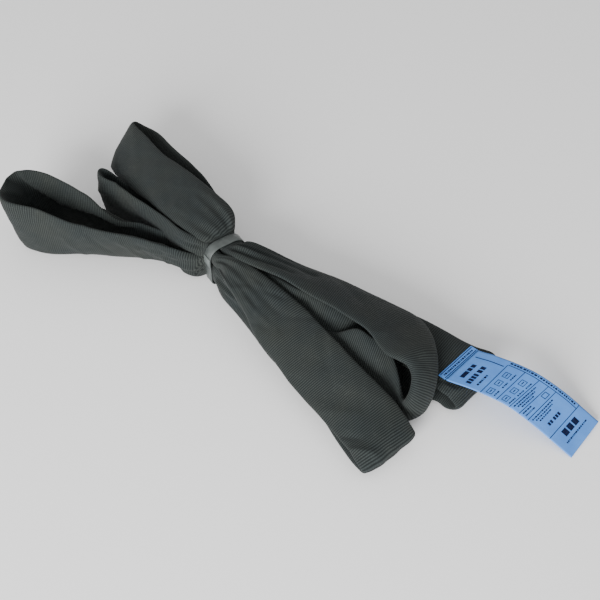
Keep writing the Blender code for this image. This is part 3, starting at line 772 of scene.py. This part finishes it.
def studio_floor():
    n = Nodes("studio_floor")
    n.value(n.shader.inputs["Base Color"], (0.95, 0.95, 0.95, 1.0))
    n.value(n.shader.inputs["Roughness"], 0.9)
    return n.material


# ---------------------------------------------------------------- the pieces


def attach(piece, key):
    """A piece of the waist's lobe rides on the waist's body; any other piece has its transform baked into
    its mesh.
    """
    body = BODY[key]
    if body == "waist":
        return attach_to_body(piece, body)
    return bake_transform(piece)


TAPED = (15.2, 16.2)  # stations of lobe d between which tape binds the core
TAPE_INSET = 2.2  # from the sleeve's outside to the tape
SEAM_GAP = 0.1  # between a passage and the lobes at its ends


def make_lobes(sleeve, yarn):
    for key, stations in ROUTES.items():
        path = Path(stations, RING_STEP)
        piece = tube_mesh(f"sleeve_lobe_{key}", loft(path, LOOKS[key]), path.run, sleeve)
        attach(piece, key)
        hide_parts(*(f"sleeve_{key}_{stretch}" for stretch in ("out", "turn", "back")))
        hank = tube_mesh(f"core_lobe_{key}", loft(path, LOOKS[key], CORE_INSET), path.run, yarn)
        attach(hank, key)
        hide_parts(f"core_{key}")
        if key == "d":
            bound = (path.t > TAPED[0]) & (path.t < TAPED[1])
            wrap = loft(path, LOOKS[key], TAPE_INSET)[bound]
            tape = tube_mesh("core_binding_tape", wrap, path.run[bound], cloth_tape())
            attach(tape, key)
            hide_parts("core_tape")


def make_passages(sleeve, yarn):
    for name, (first, second, thickness) in PASSAGES.items():
        reach = ROOT - SEAM_GAP
        ends = [(waist_point(a, *first), waist_point(a, *second), thickness) for a in (-reach, 0, reach)]
        path = Path(ends, PASSAGE_RING_STEP)
        look = plain(3, pleats=0, unevenness=0)
        piece = tube_mesh(f"sleeve_waist_{name}", loft(path, look), path.run, sleeve)
        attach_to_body(piece, "waist")
        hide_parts(f"sleeve_{name}")
        hank = tube_mesh(f"core_waist_{name}", loft(path, look, CORE_INSET), path.run, yarn)
        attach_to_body(hank, "waist")
        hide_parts(f"core_{name}")


def band(name, stations, half_width, thickness, material, closed):
    """A strap along stations of its outer face's middle line and outward direction, in the waist's axes."""
    half, t, soft = half_width, thickness, 0.25
    outline = [(-half + soft, 0), (half - soft, 0), (half, -soft), (half, -t + soft), (half - soft, -t)]
    outline += [(-half + soft, -t), (-half, -t + soft), (-half, -soft)]
    rings = [
        [waist_point(along, y + out_y * deep, z + out_z * deep) for along, deep in outline]
        for y, z, out_y, out_z in stations
    ]
    middle = np.array(stations)[:, :2]
    run = np.concatenate(([0], np.cumsum(np.linalg.norm(np.diff(middle, axis=0), axis=1))))
    return tube_mesh(name, np.array(rings), run, material, closed)


CORNER_POINTS = 10  # round each of the tie's four corners
TIE_STEP = 2.5  # about the longest step along the tie
WELD_HEIGHTS = (25.5, 37.5)  # of the weld's two ends, on the tie's near side
WELD_GAP = 0.05  # between the strap and the weld
WELD_OVERHANG = 0.15  # of the weld past each side of the strap


def tie_line(offset=0.0):
    """The strap's middle line round the bunched waist: each point and the way out from it, across and up."""
    # middle of each rounded corner, its radius and the quarter it starts at
    corners = [(6.8, 33.7, 12.5, 0), (-6.8, 33.7, 12.5, 1), (-13.3, 6, 6, 2), (13.3, 6, 6, 3)]
    line = []
    for y, z, radius, quarter in corners:
        for k in range(CORNER_POINTS):
            turn = (quarter + k / (CORNER_POINTS - 1)) * math.pi / 2
            out_y, out_z = math.cos(turn), math.sin(turn)
            line.append((y + out_y * (radius + offset), z + out_z * (radius + offset), out_y, out_z))
    line.append(line[0])
    fine = []
    for first, second in zip(line, line[1:]):
        steps = max(1, round(math.dist(first[:2], second[:2]) / TIE_STEP))
        for k in range(steps):
            mixed = [a + (b - a) * k / steps for a, b in zip(first, second)]
            length = math.hypot(mixed[2], mixed[3])
            fine.append((mixed[0], mixed[1], mixed[2] / length, mixed[3] / length))
    return fine


def make_tie(plastic, weld_look):
    line = tie_line()
    strap = band("strap_loop", line, TIE_HALF_WIDTH, TIE_THICKNESS, plastic, closed=True)
    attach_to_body(strap, "tie")
    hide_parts("tie_strap")
    low, high = WELD_HEIGHTS
    near = [p for p in tie_line(TIE_THICKNESS + WELD_GAP) if p[0] < 0 and low < p[1] < high]
    weld = band("strap_weld", near, TIE_HALF_WIDTH + WELD_OVERHANG, TIE_THICKNESS, weld_look, closed=False)
    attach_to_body(weld, "tie")
    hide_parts("tie_weld")


def label_grid(run, across, height):
    """Points over the label: along it from the header's outer edge, across it to the back, and above it."""
    path = LABEL_PATH
    run, across, height = np.broadcast_arrays(*(np.asarray(v, float) for v in (run, across, height)))
    points = np.zeros(run.shape + (3,))
    curl = 0.35 * waves(5, run, across, 38.0, 50.0, 2) * smooth((run - HEADER) / 18)
    for k in range(3):
        centre = np.interp(run, path.run, path.centre[:, k])
        wide = np.interp(run, path.run, path.wide[:, k])
        thick = np.interp(run, path.run, path.thick[:, k])
        points[..., k] = centre + wide * across + thick * (height + curl)
    points[..., 2] = np.maximum(points[..., 2], LABEL_FLOOR_CLEARANCE)
    return points


def slab(mesh_points, faces, uvs, run_span, across_span, heights, step):
    """Adds one closed slab, lying along the label, to lists of points, faces and UVs."""
    runs = np.linspace(*run_span, max(2, int(abs(run_span[1] - run_span[0]) / step) + 2))
    sides = np.linspace(*across_span, max(2, int(abs(across_span[1] - across_span[0]) / step) + 2))
    r, c = np.meshgrid(runs, sides, indexing="ij")
    rows, columns = r.shape
    base = len(mesh_points)
    for height in reversed(heights):
        grid = label_grid(r, c, height)
        mesh_points.extend(grid.reshape(-1, 3).tolist())
        uvs.extend(zip(r.ravel() * MM, c.ravel() * MM))
    top = base + np.arange(rows * columns).reshape(rows, columns)
    under = top + rows * columns
    for i in range(rows - 1):
        for j in range(columns - 1):
            faces.append((top[i, j], top[i + 1, j], top[i + 1, j + 1], top[i, j + 1]))
            faces.append((under[i, j], under[i, j + 1], under[i + 1, j + 1], under[i + 1, j]))
    rim = [*top[:, 0], *top[-1, 1:], *top[-2::-1, -1], *top[0, -2:0:-1]]
    for a, b in zip(rim, rim[1:] + rim[:1]):
        faces.append((a, a + rows * columns, b + rows * columns, b))


def slabs(name, spans, heights, material, step=2.5):
    """One piece made of slabs that lie along the label, between two heights from its middle."""
    points, faces, uvs = [], [], []
    for run_span, across_span in spans:
        slab(points, faces, uvs, run_span, across_span, heights, step)
    mesh = bpy.data.meshes.new(name)
    placed = ((np.array(points) - ORIGIN) * MM).tolist()
    mesh.from_pydata(placed, [], [tuple(int(v) for v in face) for face in faces])
    layer = mesh.uv_layers.new(name="weave")
    for loop in mesh.loops:
        layer.data[loop.index].uv = uvs[loop.vertex_index]
    mesh.materials.append(material)
    made = bpy.data.objects.new(name, mesh)
    bpy.context.scene.collection.objects.link(made)
    tidy = bmesh.new()
    tidy.from_mesh(mesh)
    bmesh.ops.recalc_face_normals(tidy, faces=tidy.faces)
    tidy.to_mesh(mesh)
    tidy.free()
    return made


def dashes(run, low, high, draw, long=2.4, tall=1.2):
    """A row of short strokes across the label, standing for a line of small print."""
    spans, place = [], low
    while place < high - 0.8:
        length = min(draw.uniform(0.7, long), high - place)
        spans.append(((run, run + tall), (place, place + length)))
        place += length + draw.uniform(0.45, 0.9)
    return spans


def frame_box(run_span, across_span, line=0.5):
    """The four rules of an empty box."""
    (r0, r1), (c0, c1) = run_span, across_span
    return [
        ((r0, r1), (c0, c0 + line)),
        ((r0, r1), (c1 - line, c1)),
        ((r0, r0 + line), (c0 + line + 0.02, c1 - line - 0.02)),
        ((r1 - line, r1), (c0 + line + 0.02, c1 - line - 0.02)),
    ]


def label_print():
    """Generic rules, bars, boxes and strokes, with no lettering."""
    draw = np.random.default_rng(7)
    rule, margin, column = 0.6, 21.8, 16.6  # a rule's thickness, the print's edge and the long rule's place
    spans = [((place, place + rule), (-margin, column - 0.1)) for place in (38.0, 53.0, 66.0, 75.5, 84.0)]
    spans += [((38.6, 106.9), (column, column + rule))]
    spans += [((107, 107.6), (-margin, margin))]
    spans += [((11, 36.5), (13.2, 14.0))]
    # the first cell's heavy bars
    spans += [((14.5, 18.3), (-13.5, -5.2)), ((14.5, 18.3), (-4, -0.4)), ((14.5, 18.3), (0.8, 4.6))]
    spans += [((22.3, 26.6), (c, c + 2.5)) for c in (-17.5, -14.1, -10.7, -7.3)]
    spans += [((22.3, 26.6), (-2.6, 0.8)), ((22.3, 26.6), (2.0, 5.4))]
    spans += dashes(31, -16, -2, draw, 3.0, 1.7)
    # two cells of small empty boxes with strokes beside them
    for start in (41.5, 56.0):
        for c in (-19, -8.2, 2.6):
            spans += frame_box((start, start + 5.2), (c, c + 6.4))
            spans += [((start + 2.2, start + 3.0), (c + 1.6, c + 4.8))]
            spans += dashes(start + 7.4, c, c + 8, draw)
    for start in (68.2, 86.5):
        for k in range(3):
            spans += dashes(start + k * 2.3, -19 + 2 * k, 9 - 4 * k, draw)
    spans += frame_box((77.3, 82.2), (4.5, 11), 0.6)
    spans += dashes(77.5, -19.5, -9, draw) + dashes(80.3, -19.5, -7, draw)
    spans += [((97.5, 100.6), (c, c + 2.2)) for c in (-12.5, -9.5, -5.2, -2.2, 0.8)]
    # the edge's small print and the last cell's heavy bar
    edge = 39.0
    while edge < 104:
        length = draw.uniform(0.8, 2.6)
        spans.append(((edge, edge + length), (18.6, 20.3)))
        edge += length + draw.uniform(0.5, 1.0)
    spans += [((110.5, 116.5), (-9.5, -4.0)), ((110.5, 116.5), (-2.5, 3.0)), ((110.5, 116.5), (4.5, 10))]
    spans += dashes(119.4, -14, 16, draw, 2.8, 1.3)
    return spans


HEADER = 8.0  # length of the sewn strip
LABEL_GAP = 0.75  # between the strip and the ribbon
LABEL_HALF = 22.0  # half the label's width
# Between which heights from the label's middle its cloth, stitches and print lie.
CLOTH, STITCH, PRINT = (-0.25, 0.25), (0.27, 0.62), (0.26, 0.34)
LABEL_STATIONS = [
    ((225.2, 1.2, 27.2), (232.3, 44.6, 26.9), 0.5),
    ((229.4, 1.0, 27.2), (236.8, 44.0, 26.9), 0.5),
    ((236, 0.8, 27.6), (243, 43.6, 27.4), 0.5),
    ((250, 3.2, 29), (256, 45, 29), 0.5),
    ((266, 5.8, 28.8), (272.4, 47, 29.3), 0.5),
    ((280, 8, 26.4), (288, 49.4, 27.8), 0.5),
    ((293.5, 10, 22), (303, 51.5, 24), 0.5),
    ((316, 12.3, 12.2), (322, 54, 15), 0.5),
    ((333, 11.5, 5), (338.5, 54.5, 7.5), 0.5),
    ((350.5, 9.5, 0.5), (354, 53.4, 3), 0.5),
]


def make_label():
    cloth, blue_ink, sewing = label_cloth(), ink(), thread()
    end = LABEL_PATH.length
    breadth = (-LABEL_HALF, LABEL_HALF)
    header = slabs("label_strip", [((0.2, HEADER - LABEL_GAP), breadth)], CLOTH, cloth)
    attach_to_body(header, "lobe_ef")
    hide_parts("label_header")
    pitch, stitch, thickness = 3.0, 2.65, 0.6
    starts = np.arange(-20.9, 19, pitch)
    rows = [((run, run + thickness), (c, c + stitch)) for run in (1.2, 6.2) for c in starts]
    stitches = slabs("label_stitches", rows, STITCH, sewing, 1.2)
    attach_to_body(stitches, "lobe_ef")
    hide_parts("label_seam_1", "label_seam_2")
    small = dashes(3.1, -19, 19, np.random.default_rng(3), 2.2, 1.7)
    strip_print = slabs("label_strip_print", small, PRINT, blue_ink)
    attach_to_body(strip_print, "lobe_ef")
    ribbon = slabs("label_ribbon", [((HEADER, end), breadth)], CLOTH, cloth, 1.6)
    ribbon.data.shade_smooth()
    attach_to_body(ribbon, "label")
    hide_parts("label")
    marks = slabs("label_print", label_print(), PRINT, blue_ink)
    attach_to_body(marks, "label")


def make_floor():
    bpy.ops.mesh.primitive_plane_add(size=FLOOR_SIZE, location=(0, 0, 0))
    floor = bpy.context.object
    floor.name = "floor"
    floor.data.materials.append(studio_floor())


CAMERA_TARGET = np.array((68.4, 20.65, 0.0))
CAMERA_AZIMUTH, CAMERA_ELEVATION = math.radians(35), math.radians(50)
CAMERA_DISTANCE = 1007.5
CAMERA_LENS, CAMERA_SENSOR = 65, 36
FLOOR_SIZE = 12.0
WORLD_STRENGTH = 0.82
KEY_PLACE, KEY_SIZE, KEY_POWER = (0.5, -2.1, 0.75), 1.3, 112


def make_camera():
    data = bpy.data.cameras.new("camera")
    data.lens = CAMERA_LENS
    data.sensor_width = CAMERA_SENSOR
    camera = bpy.data.objects.new("camera", data)
    bpy.context.scene.collection.objects.link(camera)
    a, e = CAMERA_AZIMUTH, CAMERA_ELEVATION
    back = np.array((math.sin(a) * math.cos(e), -math.cos(a) * math.cos(e), math.sin(e)))
    camera.location = (CAMERA_TARGET - ORIGIN + back * CAMERA_DISTANCE) * MM
    camera.rotation_euler = Vector(-back).to_track_quat("-Z", "Y").to_euler()
    bpy.context.scene.camera = camera


def area_light(name, place, aim, size, power):
    data = bpy.data.lights.new(name, "AREA")
    data.shape = "DISK"
    data.size = size
    data.energy = power
    lamp = bpy.data.objects.new(name, data)
    lamp.location = place
    lamp.rotation_euler = (Vector(aim) - Vector(place)).to_track_quat("-Z", "Y").to_euler()
    bpy.context.scene.collection.objects.link(lamp)


def make_lights():
    world = bpy.data.worlds.new("studio")
    world.use_nodes = True
    sky = world.node_tree.nodes["Background"]
    sky.inputs["Color"].default_value = (1, 1, 1, 1)
    sky.inputs["Strength"].default_value = WORLD_STRENGTH
    bpy.context.scene.world = world
    area_light("key", KEY_PLACE, (0, 0, 0), KEY_SIZE, KEY_POWER)


make_camera()
make_lights()
make_floor()
sleeve_look, yarn_look = sleeve_weave(), core_yarn()
make_lobes(sleeve_look, yarn_look)
make_passages(sleeve_look, yarn_look)

# The weld's plastic is drawn 1.7 times lighter than the strap's.
weld_look = tie_plastic("tie_weld_plastic", 1.7)
make_tie(tie_plastic(), weld_look)
LABEL_PATH = Path(LABEL_STATIONS, LABEL_RING_STEP)
make_label()
